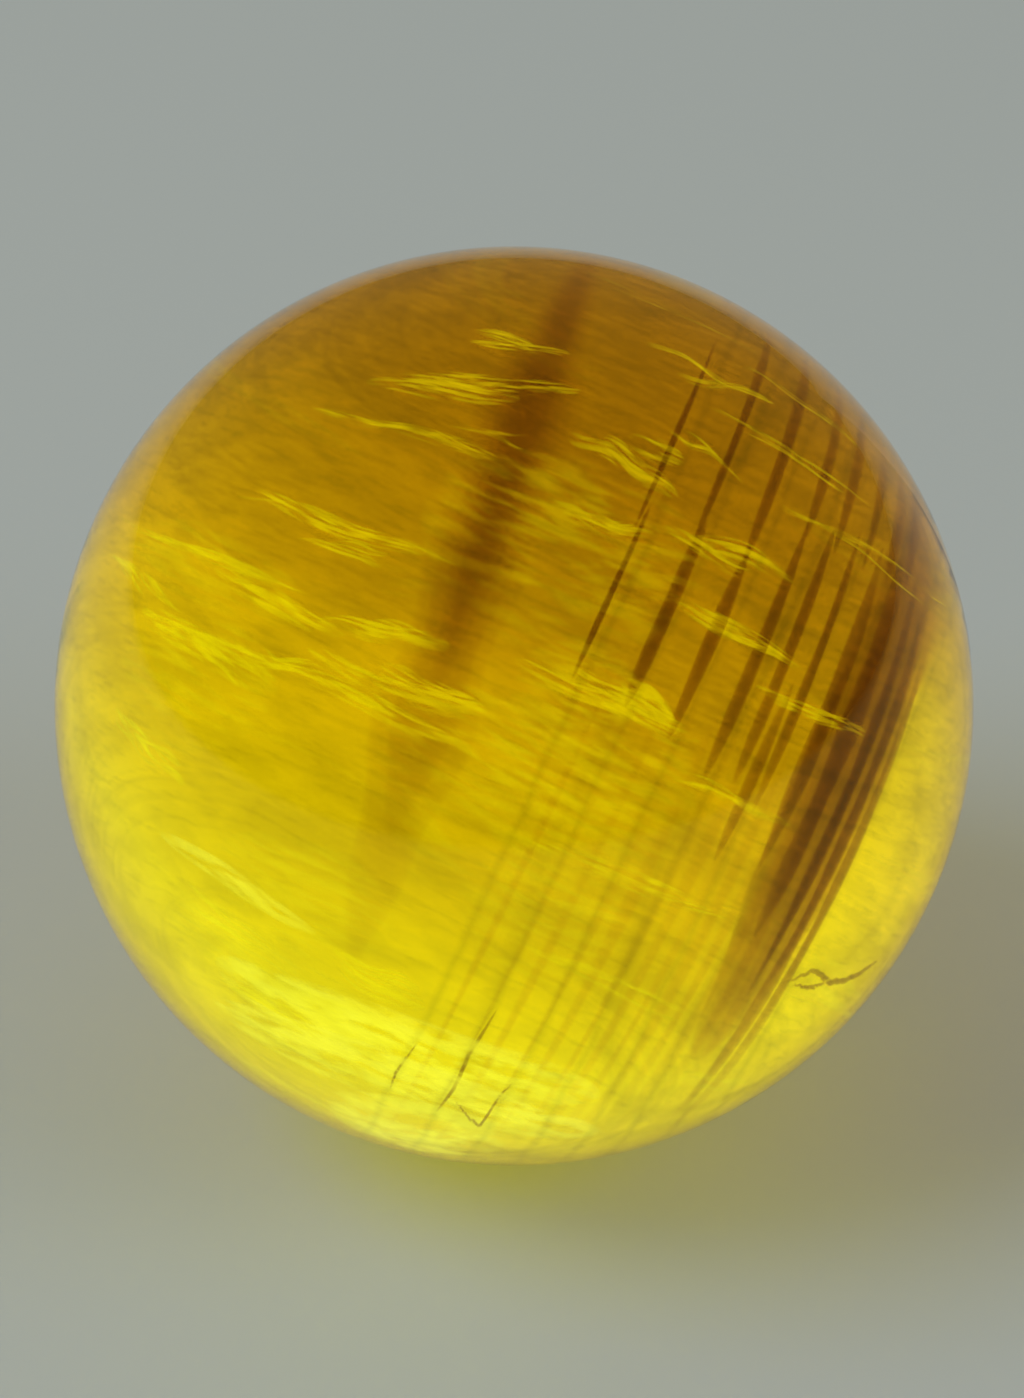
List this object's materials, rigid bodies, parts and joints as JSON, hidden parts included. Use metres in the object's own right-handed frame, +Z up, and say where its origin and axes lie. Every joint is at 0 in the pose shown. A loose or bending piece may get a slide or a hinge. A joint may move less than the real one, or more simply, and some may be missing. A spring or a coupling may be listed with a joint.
{
  "type": "fluorite sphere",
  "caption": "Polished sphere of honey-yellow banded fluorite, shown on a ring or a recessed stand as a desk ornament or specimen.",
  "frame": {"origin": "centre of the sphere", "axes": "+Z up as the sphere is shown, and a viewer in front looks along +Y with +X to the right; the outline is the same in every direction, so only the banding inside tells the axes apart"},
  "size_m": [0.06, 0.06, 0.06],
  "materials": {
    "honey_fluorite": "polished"
  },
  "bodies": {
    "root": {"fluorite_sphere": "honey_fluorite"}
  },
  "joints": []
}
